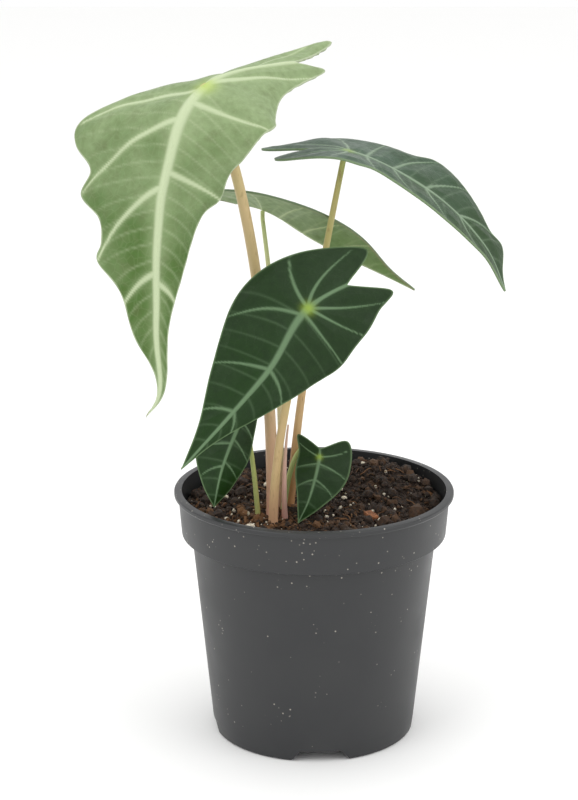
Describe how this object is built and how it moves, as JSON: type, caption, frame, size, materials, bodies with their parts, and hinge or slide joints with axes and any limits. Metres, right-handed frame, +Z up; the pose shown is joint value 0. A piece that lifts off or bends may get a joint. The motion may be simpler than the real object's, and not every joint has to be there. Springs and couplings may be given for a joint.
{
  "type": "potted alocasia",
  "caption": "Young alocasia with large ribbed arrow-shaped leaves on slender stalks, growing in potting mix in a dark round nursery pot.",
  "frame": {"origin": "middle of the pot's foot, on the surface it stands on", "axes": "+Z up along the pot's axis; -Y is the front, the side the front leaf hangs on; +X is to the right seen from the front"},
  "size_m": [0.1768, 0.1204, 0.2958],
  "materials": {
    "pot_plastic": "satin moulded polypropylene",
    "peat": "crumbly damp peat",
    "corm_skin": "fibrous brown skin",
    "pale_leaf": "waxy",
    "dark_leaf": "waxy",
    "stalk": "smooth, faintly mottled",
    "sheath": "thin and papery",
    "perlite": "chalky",
    "bark": "rough split bark"
  },
  "bodies": {
    "root": {"pot": "pot_plastic", "potting_mix": "peat", "corm": "corm_skin", "blade_large": "pale_leaf", "blade_front": "dark_leaf", "blade_right": "dark_leaf", "blade_back": "pale_leaf", "blade_small_left": "dark_leaf", "blade_small_right": "dark_leaf", "petiole_large": "stalk", "petiole_front": "stalk", "petiole_right": "stalk", "petiole_back": "stalk", "petiole_small_left": "stalk", "petiole_small_right": "stalk", "sheath_pink": "sheath", "perlite_1": "perlite", "perlite_2": "perlite", "perlite_3": "perlite", "perlite_4": "perlite", "perlite_5": "perlite", "perlite_6": "perlite", "perlite_7": "perlite", "perlite_8": "perlite", "perlite_9": "perlite", "perlite_10": "perlite", "bark_chip": "bark"}
  },
  "joints": []
}
